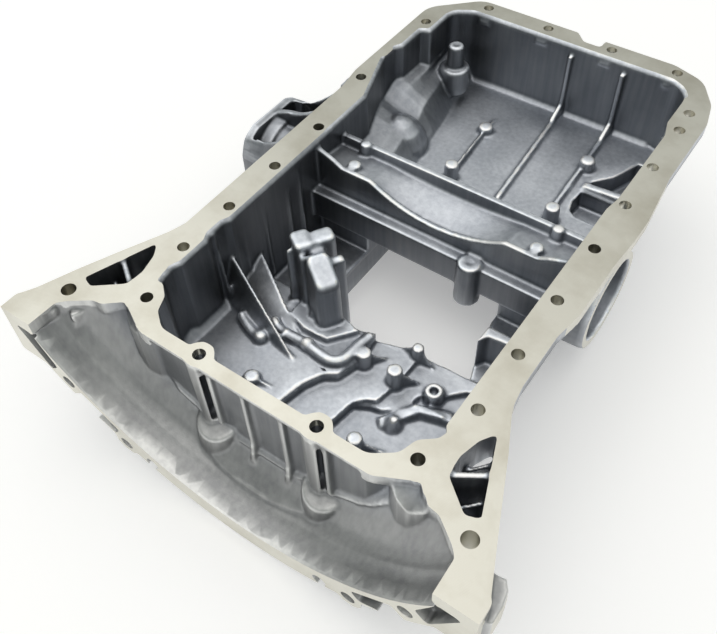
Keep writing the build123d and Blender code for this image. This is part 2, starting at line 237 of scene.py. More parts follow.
def slab(name, outline, low, high, shrink=1.0):
    """An upright body over a plan outline, whose top may be a little smaller than its foot."""
    middle_x = sum(x for x, y in outline) / len(outline)
    middle_y = sum(y for x, y in outline) / len(outline)
    lofted(name, [[(x, y, low) for x, y in outline],
                  [(middle_x + (x - middle_x) * shrink, middle_y + (y - middle_y) * shrink, high)
                   for x, y in outline]])


def plate(name, corners, thickness):
    """A flat plate through corner points in one plane, with its thickness centred on them."""
    points = [Vector(corner) for corner in corners]
    across = (points[1] - points[0]).cross(points[2] - points[1]).normalized() * (thickness / 2)
    lofted(name, [[p - across for p in points], [p + across for p in points]])


web_thickness = 4.0
ridge_thickness = 2.5
window_foot = -42
for side in (-1, 1):
    plate("window_web", [(side * 147, -33, -1.5), (side * 127, -46, -1.5), (side * 127, -46, window_foot),
                         (side * 147, -33, window_foot)], web_thickness)
    plate("window_ridge", [(side * 128, -30, -22), (side * 148, -14, -12), (side * 148, -14, window_foot),
                           (side * 128, -30, window_foot)], ridge_thickness)
    plate("window_ridge", [(side * 134, -56, -22), (side * 156, -38, -14), (side * 156, -38, window_foot),
                           (side * 134, -56, window_foot)], ridge_thickness)
lug_draft = 0.95
slab("left_lug", [(-145, 8), (-133, 6), (-133, 28), (-143, 26), (-146, 18)], -22, -9, lug_draft)
slab("left_far_lug", [(-148, 226), (-136, 222), (-136, 244), (-144, 241), (-148.5, 234)], -24, -9,
     lug_draft)
slab("wing_lug", [(172, -74), (183, -72.6), (187.5, -78), (189, -86), (189, -99.6), (184, -103.5),
                  (172, -103.5)], -46, -19, lug_draft)
slab("bell_crescent", [(-151, -84), (-139, -70.5), (-143, -77), (-147, -86)], -40, -9, 0.9)

# Near chamber floor. Round bosses with short fins stand on the stepped floor, where the oil deflector
# screws down, and one of them is drilled and faced.


def node_tree_for(name, *sizes_in):
    """A new geometry node tree with one mesh input, named number inputs and one mesh output."""
    tree = bpy.data.node_groups.new(name, "GeometryNodeTree")
    tree.interface.new_socket("Geometry", in_out="INPUT", socket_type="NodeSocketGeometry")
    for size_name, value in sizes_in:
        socket = tree.interface.new_socket(size_name, in_out="INPUT", socket_type="NodeSocketFloat")
        socket.default_value = value
    tree.interface.new_socket("Geometry", in_out="OUTPUT", socket_type="NodeSocketGeometry")
    return tree


def evaluated_mesh(obj):
    """The mesh that an object's modifiers give, as plain mesh data."""
    depsgraph = bpy.context.evaluated_depsgraph_get()
    return bpy.data.meshes.new_from_object(obj.evaluated_get(depsgraph))


boss_draft = 0.94
boss_tree = node_tree_for("boss_tree", ("Draft", boss_draft))
boss_nodes = boss_tree.nodes
boss_links = boss_tree.links
boss_in = boss_nodes.new("NodeGroupInput")
boss_out = boss_nodes.new("NodeGroupOutput")
boss_body = boss_nodes.new("GeometryNodeMeshCone")
boss_body.inputs["Vertices"].default_value = 32
boss_body.inputs["Radius Bottom"].default_value = 1.0
boss_body.inputs["Depth"].default_value = 1.0
boss_radius = boss_nodes.new("GeometryNodeInputNamedAttribute")
boss_radius.data_type = "FLOAT"
boss_radius.inputs["Name"].default_value = "radius"
boss_height = boss_nodes.new("GeometryNodeInputNamedAttribute")
boss_height.data_type = "FLOAT"
boss_height.inputs["Name"].default_value = "height"
boss_size = boss_nodes.new("ShaderNodeCombineXYZ")
boss_place = boss_nodes.new("GeometryNodeInstanceOnPoints")
boss_real = boss_nodes.new("GeometryNodeRealizeInstances")
boss_finish = boss_nodes.new("GeometryNodeSetMaterial")
cast_alloy = bpy.data.materials.new("cast_alloy")
boss_finish.inputs["Material"].default_value = cast_alloy
boss_links.new(boss_in.outputs["Draft"], boss_body.inputs["Radius Top"])
boss_links.new(boss_in.outputs["Geometry"], boss_place.inputs["Points"])
boss_links.new(boss_body.outputs["Mesh"], boss_place.inputs["Instance"])
boss_links.new(boss_radius.outputs["Attribute"], boss_size.inputs["X"])
boss_links.new(boss_radius.outputs["Attribute"], boss_size.inputs["Y"])
boss_links.new(boss_height.outputs["Attribute"], boss_size.inputs["Z"])
boss_links.new(boss_size.outputs["Vector"], boss_place.inputs["Scale"])
boss_links.new(boss_place.outputs["Instances"], boss_real.inputs["Geometry"])
boss_links.new(boss_real.outputs["Geometry"], boss_finish.inputs["Geometry"])
boss_links.new(boss_finish.outputs["Geometry"], boss_out.inputs["Geometry"])


def bosses(name, spots):
    """Round bosses at (x, y, radius, foot, top), in millimetres, from the boss tree."""
    points = bpy.data.meshes.new(name)
    points.from_pydata([Vector((x, y, foot)) * mm for x, y, radius, foot, top in spots], [], [])
    radii = points.attributes.new("radius", "FLOAT", "POINT")
    heights = points.attributes.new("height", "FLOAT", "POINT")
    for spot, radius_value, height_value in zip(spots, radii.data, heights.data):
        radius_value.value = spot[2] * mm
        height_value.value = (spot[4] - spot[3]) * mm
    holder = bpy.data.objects.new(name, points)
    bpy.context.scene.collection.objects.link(holder)
    maker = holder.modifiers.new(name, "NODES")
    maker.node_group = boss_tree
    for socket in boss_tree.interface.items_tree:
        if socket.in_out == "INPUT" and socket.name == "Draft":
            maker[socket.identifier] = boss_draft
    added_forms.append(evaluated_mesh(holder))
    bpy.data.objects.remove(holder)


def fin(name, x, y, turn, length, foot, height, width=4.5):
    """A low fin that runs out from a boss and down to nothing."""
    way = Vector((math.cos(math.radians(turn)), math.sin(math.radians(turn)), 0))
    across = Vector((-way.y, way.x, 0)) * (width / 2)
    start = Vector((x, y, foot))
    end = start + way * length
    up = Vector((0, 0, height))
    lofted(name, [[start - across, start + across, start + across * 0.5 + up, start - across * 0.5 + up],
                  [end - across * 0.2, end + across * 0.2, end + across * 0.2 + up * 0.15,
                   end - across * 0.2 + up * 0.15]])


ring_share = 0.62
ring_height = 0.5
near_bosses = [(7.9, 37.2, 6.4, -97, -70), (35.5, 37.2, 6.4, -97, -70), (40.7, -20.8, 6.4, -100, -80),
               (-47.7, -25.3, 6.4, -80, -70), (37.1, 66.4, 5.0, -97, -74)]
bosses("near_bosses", near_bosses)
bosses("near_boss_rings", [(x, y, radius * ring_share, -80, top + ring_height)
                           for x, y, radius, foot, top in near_bosses[:4]])
drilled_boss("faced_boss", 64.3, 46.0, 7.2, 3.2, -98, -83.5, 7)
for x, y, turn, length, foot, height in ((-44, -25, 10, 18, -78, 7), (11, 40, 50, 16, -88, 15),
                                         (39, 39, 38, 14, -88, 14), (44, -19, 25, 18, -97, 12),
                                         (34, 66, 175, 12, -88, 12), (40, 66, -5, 12, -88, 12)):
    fin("boss_fin", x, y, turn, length, foot, height)
floor_root = -98
slab("floor_plateau", [(18, 4), (30.6, 11.3), (40.1, 13.7), (49.3, 21), (54.3, 28.7), (55.4, 37.9),
                       (57.7, 41.9), (69.2, 46.1), (76.3, 55), (82.9, 62), (96, 68), (96, 75), (78, 74),
                       (40, 72), (30, 69), (24, 40)], floor_root, -90.5, 0.985)
slab("floor_block", [(73, 88), (78, 97), (111, 100), (111, 106), (73, 106)], floor_root, -64, 0.97)
lofted("floor_cone", [round_ring(52, 10, floor_root, 9), round_ring(52, 10, -92, 6),
                      round_ring(53, 11, -86, 2.5)])
lofted("floor_saddle", [[(38, 8, -99), (46, 0, -99), (46, 3, -93), (41, 8, -92)],
                        [(54, 32, -99), (66, 24, -99), (64, 27, -88), (58, 31, -88)],
                        [(80, 46, -99), (96, 30, -99), (90, 34, -90), (84, 40, -90)]])
lofted("floor_ramp", [[(56, 32, floor_root), (61, 27, floor_root), (60, 28.5, -88), (57.5, 31, -88)],
                      [(79, 36, floor_root), (84, 31, floor_root), (82, 32, -88), (80, 34, -88)]])
near_floor = -76
fillet_run = [(-110, 62), (-110, 40), (-110, 14), (-110, -12), (-111, -30), (-99, -40), (-94, -52),
              (-82, -61)]
strip("near_floor_fillet", [(x, y, near_floor) for x, y in fillet_run], (6.0, 6.0))
strip("near_front_fillet", [(-82, -62, near_floor), (-26, -62, near_floor)], (4.0, 4.0))

# Oil gallery. A cluster of round-edged posts stands by the floor opening and carries oil up to the
# pump, and a cast pipe runs from it round the floor, with stubs towards the left wall.


def rounded_ring(x, y, z, size_x, size_y, corner, turn=0.0, tilt=0.0):
    """A rectangle with rounded corners, turned in the plan by some degrees and tilted along it."""
    steps = 5
    half_x, half_y = size_x / 2 - corner, size_y / 2 - corner
    ring = []
    for quarter, (side_x, side_y) in enumerate(((1, 1), (-1, 1), (-1, -1), (1, -1))):
        for step in range(steps + 1):
            angle = math.pi / 2 * (quarter + step / steps)
            ring.append((side_x * half_x + corner * math.cos(angle),
                         side_y * half_y + corner * math.sin(angle)))
    cos_turn, sin_turn = math.cos(math.radians(turn)), math.sin(math.radians(turn))
    return [(x + a * cos_turn - b * sin_turn, y + a * sin_turn + b * cos_turn,
             z - tilt * (a + half_x + corner)) for a, b in ring]


def post(name, x, y, size_x, size_y, foot, top, corner=3.5, turn=0.0, tilt=0.0):
    """An upright post with rounded corners and a rounded top."""
    rings = [rounded_ring(x, y, foot, size_x + 2, size_y + 2, corner, turn)]
    for drop, inset in ((3.0, 0.0), (1.6, 0.5), (0.6, 1.4), (0.0, 2.8)):
        rings.append(rounded_ring(x, y, top - drop, size_x - 2 * inset, size_y - 2 * inset,
                                  max(corner - inset, 0.6), turn, tilt))
    lofted(name, rings)


def pipe(name, path, radius):
    """A round bar along a smooth line through the points of a path."""
    line = bpy.data.curves.new(name, "CURVE")
    line.dimensions = "3D"
    run = line.splines.new("NURBS")
    run.points.add(len(path) - 1)
    for knot, point in zip(run.points, path):
        knot.co = (*(Vector(point) * mm), 1.0)
    run.order_u = 3
    run.use_endpoint_u = True
    run.resolution_u = 6
    line.bevel_depth = radius * mm
    line.bevel_resolution = 4
    line.use_fill_caps = True
    holder = bpy.data.objects.new(name, line)
    bpy.context.scene.collection.objects.link(holder)
    added_forms.append(evaluated_mesh(holder))
    bpy.data.objects.remove(holder)


gallery_turn = -33
post("gallery_front", -37.5, 52, 28, 19, floor_root, -16.5, 5.5, gallery_turn, 0.42)
for name, x, y, size_x, size_y, foot, top, corner in (
        ("gallery_front_back", -46, 58, 9, 17, floor_root, -18, 3.5),
        ("gallery_left", -66.5, 65, 20, 16, -80, -15.5, 4.5),
        ("gallery_back", -56, 77, 15, 18, -80, -15.5, 4.5),
        ("gallery_middle", -53, 66, 20, 12, floor_root, -21, 2.5),
        ("gallery_tall_rib", -53, 56, 4, 9, -80, -19, 1.6),
        ("gallery_side", -60, 56, 14, 6, -80, -21, 2.5),
        ("gallery_outer_rib", -68, 57, 3.6, 12, -80, -20, 1.6),
        ("gallery_slot_rib", -37, 67, 8, 14, floor_root, -22, 2.0)):
    post(name, x, y, size_x, size_y, foot, top, corner, gallery_turn)
pipe("gallery_pin", [(-43, 45, -80), (-43, 45, -66)], 3.6)
slab("gallery_base", [(-62, 36), (-44, 30), (-22, 31), (-12, 44), (-6, 52), (-20, 56), (-62, 60)],
     floor_root, -70, 0.97)
pipe("oil_pipe", [(-60, 21, -73), (-50, 19.5, -72), (-34, 21, -72), (-21, 19, -72.5), (-8, 18, -73),
                  (-1, 26, -73.5), (-1, 40, -74), (2, 56, -75)], 4.6)
pipe("oil_pipe_collar", [(-34, 21.2, -72), (-30, 20.8, -72)], 6.0)
pipe("oil_pipe_collar", [(-52, 19.6, -72), (-49.5, 19.5, -72)], 5.4)
post("pipe_stub", -64, 23, 10, 7, -80, -67, 2.0, -30)
lofted("left_stub", [round_ring(-90, 14, -79, 4), round_ring(-90, 14, -70, 3.4),
                     round_ring(-90, 14, -67, 2)])
pipe("left_stub_run", [(-90, 14, -72), (-78, 7.5, -74), (-66, 6, -73)], 4.2)
lofted("left_stub_end", [round_ring(-66, 7, -79, 6.5), round_ring(-66, 7, -71, 5.4),
                         round_ring(-66, 7, -68, 3.4)])

# Left wall of the near chamber. Thin fins fan out from the wall down to the floor, and shallow
# draft lines run down it between the bolts.
wall_x = -110
fin_foot = -77
fin_thickness = 2.4
fan_fins = [(36, -36, (-30, 4.5), 20), (66, -56, (-41, 25), 30), (23, -3, (-105, 22), 21)]
for top_y, top_z, floor_end, wall_y in fan_fins:
    plate("fan_fin", [(wall_x - 2, top_y, top_z), (*floor_end, fin_foot), (wall_x - 2, wall_y, fin_foot)],
          fin_thickness)
wall_line_foot = -90
wall_lines = [(49, -20, 1.8), (74, -16, 1.4), (103, -20, 1.8), (118, -6, 2.2)]
for y, top, reach in wall_lines:
    out = wall_x + reach + 0.8
    lofted("wall_line", [[(wall_x - 2, y - 2.2, wall_line_foot), (out, y - 1.0, wall_line_foot),
                          (out, y + 1.0, wall_line_foot), (wall_x - 2, y + 2.2, wall_line_foot)],
                         [(wall_x - 2, y - 1.4, top), (wall_x + 0.2, y - 0.6, top),
                          (wall_x + 0.2, y + 0.6, top), (wall_x - 2, y + 1.4, top)]])

# Cross member. Two walls and a trough carry the axle passage between the chambers. Small bosses stand
# on its lip and ridge, and a drilled pillar for the oil pickup stands on the beam in front of it.
cross_bosses = [(-81, 153, 5.8, 3.6, -15.5), (81, 153, 5.8, 3.6, -15.5), (-86.2, 176.4, 5, 3.0, -13.5),
                (86.2, 176.4, 5, 3.0, -13.5)]
cross_boss_foot = -32
bosses("cross_bosses", [(x, y, radius, cross_boss_foot, top) for x, y, radius, ring_r, top in cross_bosses])
bosses("cross_boss_rings", [(x, y, ring_r, cross_boss_foot, top + ring_height)
                            for x, y, radius, ring_r, top in cross_bosses])
drilled_boss("pickup_pillar", 39, 133, 9.6, 2.8, -80, -40, 8)
strip("cross_wall_fillet", [(-110, 139, -8), (-110, 139, -43)], (3, 3))

# Far chamber. Two ribs run down the far wall and on across the floor, two rows of bosses stand beside
# them, and on the left a raised passage with a boss and a pin runs along the wall.
far_rib_lines = [((0, 367), (9, 234)), ((49, 367), (54, 234))]
rib_top = -66.5
for (x0, y0), (x1, y1) in far_rib_lines:
    lofted("far_rib", [[(x0 - 1.2, y0 + 4, -7), (x0 + 1.2, y0 + 4, -7), (x0 + 1.0, y0 + 2, -7),
                        (x0 - 1.0, y0 + 2, -7)],
                       [(x0 - 2.6, y0 + 4, -58), (x0 + 2.6, y0 + 4, -58), (x0 + 1.8, y0 - 3, -58),
                        (x0 - 1.8, y0 - 3, -58)],
                       [(x0 - 3.4, y0 + 4, -75), (x0 + 3.4, y0 + 4, -75), (x0 + 2.2, y0 - 20, rib_top),
                        (x0 - 2.2, y0 - 20, rib_top)]])
    lofted("far_floor_rib", [[(x - 3.2, y, -74), (x + 3.2, y, -74), (x + 1.8, y, rib_top),
                              (x - 1.8, y, rib_top)] for x, y in ((x0, y0), (x1, y1))])
far_boss_foot = -74
far_bosses = [(-44.5, 306.5, 7.0, -64), (-38.0, 235, 6.6, -54), (54.3, 311, 7.2, -60), (58, 235.5, 6.8, -54)]
bosses("far_bosses", [(x, y, radius, far_boss_foot, top) for x, y, radius, top in far_bosses])
bosses("far_boss_rings", [(x, y, radius * ring_share, far_boss_foot, top + ring_height)
                          for x, y, radius, top in far_bosses])
lofted("left_boss_rib", [[(-46.3, 305, -73), (-42.7, 305, -73), (-43.5, 305, rib_top), (-45.5, 305, rib_top)],
                         [(-40.5, 238, -73), (-36.5, 238, -73), (-37.5, 238, -63), (-39.5, 238, -63)]])
fin("left_boss_fin", -44.7, 310, 92, 20, -72, 6, 4)
for x in (-89, -31, 30, 88):
    slab("ejector_step", [(x - 5, 371), (x - 5, 368.6), (x + 5, 368.6), (x + 5, 371)], -9, -6)
far_floor = -71
strip("far_wall_fillet", [(85, 370, far_floor), (-96, 370, far_floor)], (5.0, 5.0))
strip("far_right_fillet", [(108, 345, far_floor), (108, 365, far_floor)], (4.0, 4.0))
passage_foot = -76
passage = [(180, -68, -50), (215, -71, -47), (236, -74, -45), (250, -77, -47), (262, -79.5, -52),
           (268, -80.5, -51.5), (278, -82, -46), (288, -83.5, -44), (302, -86, -44.5), (316, -88.5, -45),
           (328, -91, -44), (345, -93, -42), (371, -96, -40)]
lofted("left_passage", [[(-131, y, passage_foot), (-131, y, top + 12), (-116, y, top + 7),
                         (foot_x - 24, y, top + 2), (foot_x - 14, y, top - 3),
                         (foot_x - 6, y, (top + far_floor) / 2 - 3), (foot_x - 1, y, far_floor + 3),
                         (foot_x + 4, y, passage_foot)] for y, foot_x, top in passage])
lofted("passage_bump", [round_ring(-99, 247, passage_foot, 26), round_ring(-99, 247, -62, 24),
                        round_ring(-99, 247, -50, 18), round_ring(-100, 247, -43, 11),
                        round_ring(-100, 247, -40, 4)])
post_x, post_y = -98, 337
lofted("post_boss", [round_ring(post_x, post_y, z, r)
                     for z, r in ((-63, 13), (-56, 14), (-40, 14), (-37.5, 12.6))])
lofted("post_pin", [round_ring(post_x, post_y, z, r)
                    for z, r in ((-50, 8.2), (-17, 7.4), (-15, 5.8), (-15, 3.6), (-16, 3.4), (-16, 0.1))])
lofted("well_ridge", [[(60, 283, -90), (60, 297, -90), (62, 293, -68), (62, 286, -68)],
                      [(112, 283, -90), (112, 297, -90), (112, 293, -64), (112, 286, -64)]])
for x, y, z, r in ((107, 272, -40, 4), (109, 318, -30, 5), (108, 327, -24, 4), (108, 306, -52, 4.5)):
    lofted("right_bump", [round_ring(x, y, z - 14, r), round_ring(x, y, z, r * 0.9),
                          round_ring(x, y, z + 2, r * 0.5)])

# Axle passage. On the left the axle's bracket is a plate with a thick ring on its inside, tied to the
# pan by webs. On the right the port is a machined ring.
axle_y, axle_z = 175, -61


def ring_along_x(name, stations):
    """A hollow round body along X, through stations of x and radius that come back to the first."""
    count = 64
    turns = [2 * math.pi * i / count for i in range(count)]
    points = [Vector((x, axle_y + radius * math.cos(a), axle_z + radius * math.sin(a))) * mm
              for x, radius in stations for a in turns]
    total = len(points)
    faces = [(start + i, start + (i + 1) % count, (start + (i + 1) % count + count) % total,
              (start + i + count) % total) for start in range(0, total, count) for i in range(count)]
    mesh = bpy.data.meshes.new(name)
    mesh.from_pydata(points, [], faces)
    added_forms.append(mesh)


ring_along_x("bracket_ring", [(-186, 33.5), (-171, 32.5), (-170, 31), (-170, 24.5), (-186, 24.5)])
ring_along_x("port_rim", [(112, 42.5), (133, 41.8), (135.4, 40.6), (135.4, 34.5), (112, 34.5)])
plate("bracket_web", [(-182, 178, -23), (-136, 181, -6), (-136, 181, -40), (-182, 178, -40)], web_thickness)
lofted("bracket_pin", [round_ring(-178, 208, -70, 6.6), round_ring(-178, 208, -24, 5.8),
                       round_ring(-178, 208, -22.5, 4.6)])
strip("bracket_edge", [(-186, 212, -25), (-186, 140, -25)], (3, 2))

# Oil pan casting. One die casting of aluminium alloy, grey and slightly rough as it leaves the
# die, with soft edges and draft. Its rail face, bell face, sump face and axle faces are milled
# bright afterwards, and every bolt hole is drilled.
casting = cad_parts["oil_pan_casting"]
mill_stock = 3.0 * mm
skin_voxel = 1.15 * mm
skin_smoothing = 4
skin_triangles = 207200
plane_hair = 1e-5
bracket_face_x = -188.0
milled_faces = [(Vector((0, 0, 1)), 0.0), (Vector((0, -1, 0)), -cad_box[0][1]),
                (Vector((0, 0, -1)), -cad_box[0][2]), (Vector((-1, 0, 0)), -bracket_face_x * mm)]
rail_holes = [(side * 120, y) for side in (-1, 1) for y in (0, 49.5, 103, 159)]
rail_holes += [(-108.5, -48.5), (108.5, -48.5), (-130, 232), (-128.7, 332.5), (119.5, 211), (119.5, 260),
               (119.5, 312), (118, 336), (-92, 382.5), (-31, 382.5), (30, 382.5), (89.5, 381.5)]
rail_holes += lip_holes
wing_holes = [(-158, -73.5), (158, -73.5)]
wing_hole_r = 5.4


def lower_posts(raw, low_z):
    """Takes the solid's own gallery posts down to the floor, because rounder ones stand there."""
    for point in raw.verts:
        x, y, z = point.co
        if -80 * mm < x < -22 * mm and 36 * mm < y < 90 * mm and z > low_z * mm:
            point.co.z = low_z * mm


def trim_columns(raw):
    """Takes the corners of the wall's bolt columns back, where they would stand before the ribs."""
    for point in raw.verts:
        x, y, z = point.co / mm
        if not -81 < z < -4.6:
            continue
        beside_rib = -56.9 < x < -52.9 or 37.1 < x < 39.8
        before_rib = -53.1 < x < -48.9 or 39.6 < x < 43.8
        if beside_rib and -71.9 < y < -67.1:
            point.co.y = -67.1 * mm
        elif before_rib and y < -72:
            point.co.y = -72 * mm


def soft_rail_marks(edge):
    """Points along a rail edge that the die left round: the left rail's inside and the far wall's."""
    start, end = edge.verts[0].co / mm, edge.verts[1].co / mm
    middle = (start + end) / 2
    length = (end - start).length
    on_left = -131 < middle.x < -109 and -35 < middle.y < 365 and length > 0.9
    on_far = 355 < middle.y < 371 and -118 < middle.x < 109
    clear = min((Vector((x, y, 0)) - middle).length for x, y in rail_holes) > rail_hole_r + 0.6
    if not ((on_left or on_far) and clear and abs(middle.x + 135) > 6):
        return []
    steps = max(2, int(length / 0.6))
    return [start.lerp(end, i / steps) for i in range(steps + 1)]


raw = bmesh.new()
raw.from_mesh(casting.data)
bmesh.ops.remove_doubles(raw, verts=raw.verts, dist=1e-6)
lower_posts(raw, -75.5)
trim_columns(raw)
eased_marks = []
for way, distance in milled_faces:
    face_patch = [face for face in raw.faces if face.normal.dot(way) > 0.999
                  and abs(face.calc_center_median().dot(way) - distance) < plane_hair]
    if way.z == 1:
        inside_patch = set(face_patch)
        for edge in raw.edges:
            if len([face for face in edge.link_faces if face in inside_patch]) == 1:
                eased_marks += soft_rail_marks(edge)
    grown = bmesh.ops.extrude_face_region(raw, geom=face_patch)
    grown_points = [part for part in grown["geom"] if isinstance(part, bmesh.types.BMVert)]
    bmesh.ops.translate(raw, verts=grown_points, vec=way * mill_stock)
for mesh in added_forms:
    raw.from_mesh(mesh)
raw_mesh = bpy.data.meshes.new("raw_casting")
raw.to_mesh(raw_mesh)
raw.free()


def point_arrays(mesh):
    """A mesh's points, in millimetres, and their normals."""
    places = np.empty(len(mesh.vertices) * 3)
    normals = np.empty(len(mesh.vertices) * 3)
    mesh.vertices.foreach_get("co", places)
    mesh.vertices.foreach_get("normal", normals)
    return places.reshape(-1, 3) / mm, normals.reshape(-1, 3)


def add_skin(obj):
    """Gives an object the modifier that turns its bodies into one closed skin."""
    skin = obj.modifiers.new("skin", "REMESH")
    skin.mode = "VOXEL"
    skin.voxel_size = skin_voxel


rough = bpy.data.objects.new("rough_casting", raw_mesh)
bpy.context.scene.collection.objects.link(rough)
add_skin(rough)
first_skin = evaluated_mesh(rough)
spots = point_arrays(first_skin)[0]

# The inner rail edges are eased to a radius, and the rail drops away at the neck of each wing.
eased_edge_r = 4.2
edge_tree = KDTree(len(eased_marks))
for i, mark in enumerate(eased_marks):
    edge_tree.insert((mark.x, mark.y, 0), i)
edge_tree.balance()
for i in np.nonzero(spots[:, 2] > -eased_edge_r)[0]:
    gap = edge_tree.find((spots[i, 0], spots[i, 1], 0))[2]
    if gap < eased_edge_r:
        drop = eased_edge_r - math.sqrt(max(0.0, eased_edge_r ** 2 - (eased_edge_r - gap) ** 2))
        spots[i, 2] = min(spots[i, 2], -drop)
neck_line = ([84, 92, 108, 118, 130, 137, 152], [-72.5, -72.5, -64, -60, -70, -71, -82])
across = np.abs(spots[:, 0])
outside = np.interp(across, *neck_line) - spots[:, 1]
on_neck = (across > 90) & (across < 141) & (outside > 0.3) & (spots[:, 1] > -76) & (spots[:, 2] > -16)
spots[on_neck, 2] = np.minimum(spots[on_neck, 2], -5 - 0.8 * outside[on_neck])

# The axle bracket is rounded off around the axle, and so is the bell flange's shoulder.
bracket_round_r = 43.0
bracket_half_width = 60
radius = np.hypot(spots[:, 1] - axle_y, spots[:, 2] - axle_z)
share = np.clip((-spots[:, 0] - 145) / 22, 0, 1) * (np.abs(spots[:, 1] - axle_y) < bracket_half_width)
tighter = np.where(radius > bracket_round_r, bracket_round_r + (radius - bracket_round_r) * 0.25, radius)
pull = 1 + share * (tighter / np.maximum(radius, 1) - 1)
spots[:, 1] = axle_y + (spots[:, 1] - axle_y) * pull
spots[:, 2] = axle_z + (spots[:, 2] - axle_z) * pull
bell_shoulder_y = -90.0
shoulder_reach = 9
shoulder_drop = 2.2
crank_gap = np.hypot(spots[:, 0], spots[:, 2] - crank_z)
shoulder_gap = np.abs(spots[:, 1] - bell_shoulder_y)
near_skin = (shoulder_gap < shoulder_reach) & (crank_gap > 178) & (crank_gap < 185)
rounding = shoulder_drop * (1 - shoulder_gap / shoulder_reach) ** 2
crank_new = np.where(near_skin, crank_gap - rounding, crank_gap)
spots[:, 0] *= crank_new / crank_gap
spots[:, 2] = crank_z + (spots[:, 2] - crank_z) * crank_new / crank_gap
first_skin.vertices.foreach_set("co", (spots * mm).ravel())
first_skin.update()
rough.data = first_skin
rough.modifiers.clear()
add_skin(rough)
ease = rough.modifiers.new("ease", "SMOOTH")
ease.factor = 0.5
ease.iterations = skin_smoothing
fine_mesh = evaluated_mesh(rough)
rough.modifiers.clear()
rough.data = fine_mesh
thin = rough.modifiers.new("thin", "DECIMATE")
thin.ratio = min(1.0, skin_triangles / (2 * len(fine_mesh.polygons)))
pan_mesh = evaluated_mesh(rough)
bpy.data.objects.remove(rough)

# Drilled holes come back to true circles, and the port's face to a true plane.
hole_tree = KDTree(len(rail_holes) + len(wing_holes))
for i, (x, y) in enumerate(rail_holes + wing_holes):
    hole_tree.insert((x, y, 0), i)
hole_tree.balance()


def nearest_hole(x, y):
    """The nearest hole's middle, its radius and how far away that middle is."""
    axis, hole, gap = hole_tree.find((x, y, 0))
    return axis, rail_hole_r if hole < len(rail_holes) else wing_hole_r, gap


port_plane = 136.0
spots, leans = point_arrays(pan_mesh)
for i in np.nonzero((spots[:, 2] > -40) & (np.abs(leans[:, 2]) < 0.7))[0]:
    axis, hole_r, gap = nearest_hole(spots[i, 0], spots[i, 1])
    if gap < hole_r + 0.9:
        way = (Vector((spots[i, 0], spots[i, 1], 0)) - axis).normalized()
        spots[i, 0] = axis.x + way.x * hole_r
        spots[i, 1] = axis.y + way.y * hole_r
port_gap = np.hypot(spots[:, 1] - axle_y, spots[:, 2] - axle_z)
on_port = (spots[:, 0] > port_plane - 1.6) & (port_gap > 32.5) & (port_gap < 42.5) & (leans[:, 0] > 0.6)
spots[on_port, 0] = port_plane
pan_mesh.vertices.foreach_set("co", (spots * mm).ravel())
pan_mesh.update()

# The stock is milled off the four flat faces. These, the holes and the port show bright metal.
lip_channel_top = -6
hole_bottom = -46


def loose_slivers(form, most_points):
    """The points of bodies that milling left with no more than a few points."""
    left = set(form.verts)
    slivers = []
    while left:
        start = left.pop()
        body = [start]
        reached = [start]
        while reached:
            point = reached.pop()
            for edge in point.link_edges:
                other = edge.other_vert(point)
                if other in left:
                    left.remove(other)
                    body.append(other)
                    reached.append(other)
        if len(body) <= most_points:
            slivers += body
    return slivers


cut = bmesh.new()
cut.from_mesh(pan_mesh)
cut.normal_update()
for face in cut.faces:
    face.smooth = True
    middle = face.calc_center_median() / mm
    axis, hole_r, gap = nearest_hole(middle.x, middle.y)
    hole_end = lip_channel_top if axis.y < -63 and abs(axis.x) < 50 else hole_bottom
    if gap < hole_r + 0.5 and middle.z > hole_end and abs(face.normal.z) < 0.6:
        face.material_index = 1
    if middle.x > port_plane - 0.2 and face.normal.x > 0.95:
        face.material_index = 1
for way, distance in milled_faces:
    everything = cut.verts[:] + cut.edges[:] + cut.faces[:]
    rim = bmesh.ops.bisect_plane(cut, geom=everything, dist=1e-7, plane_co=way * distance, plane_no=way,
                                 clear_outer=True)
    rim_edges = [part for part in rim["geom_cut"] if isinstance(part, bmesh.types.BMEdge)]
    cap = bmesh.ops.triangle_fill(cut, use_beauty=True, edges=rim_edges, normal=way)
    for part in cap["geom"]:
        if isinstance(part, bmesh.types.BMFace):
            part.material_index = 1
            part.smooth = False
    for edge in rim_edges:
        if edge.is_valid:
            edge.smooth = False
bmesh.ops.delete(cut, geom=loose_slivers(cut, 12), context="VERTS")
milled_alloy = bpy.data.materials.new("milled_alloy")
pan_mesh.materials.append(cast_alloy)
pan_mesh.materials.append(milled_alloy)
cut.to_mesh(pan_mesh)
cut.free()

# An edge mark says how far each point stands out from its neighbours. It paints outer edges brighter, as
# painted highlight with some edge wear, and inner corners duller, as painted shade.
count = len(pan_mesh.vertices)
spots, leans = point_arrays(pan_mesh)
pairs = np.empty(len(pan_mesh.edges) * 2, dtype=np.int64)
pan_mesh.edges.foreach_get("vertices", pairs)
pairs = pairs.reshape(-1, 2)
heads = np.concatenate([pairs[:, 0], pairs[:, 1]])
tails = np.concatenate([pairs[:, 1], pairs[:, 0]])
away = spots[heads] - spots[tails]
length = np.linalg.norm(away, axis=1) + 1e-6
bend = np.einsum("ij,ij->i", away, leans[heads]) / length
links = np.bincount(heads, minlength=count)
standing = np.bincount(heads, weights=bend, minlength=count) / np.maximum(links, 1)
edge_spreads = 4
edge_light_and_wear_gain = 1.7
for turn in range(edge_spreads):
    spread = np.bincount(heads, weights=standing[tails], minlength=count) / np.maximum(links, 1)
    standing = 0.5 * standing + 0.5 * spread
edge_light_and_wear = pan_mesh.attributes.new("edge_light_and_wear", "FLOAT", "POINT")
edge_light_and_wear.data.foreach_set("value", np.clip(0.5 + standing * edge_light_and_wear_gain, 0, 1))
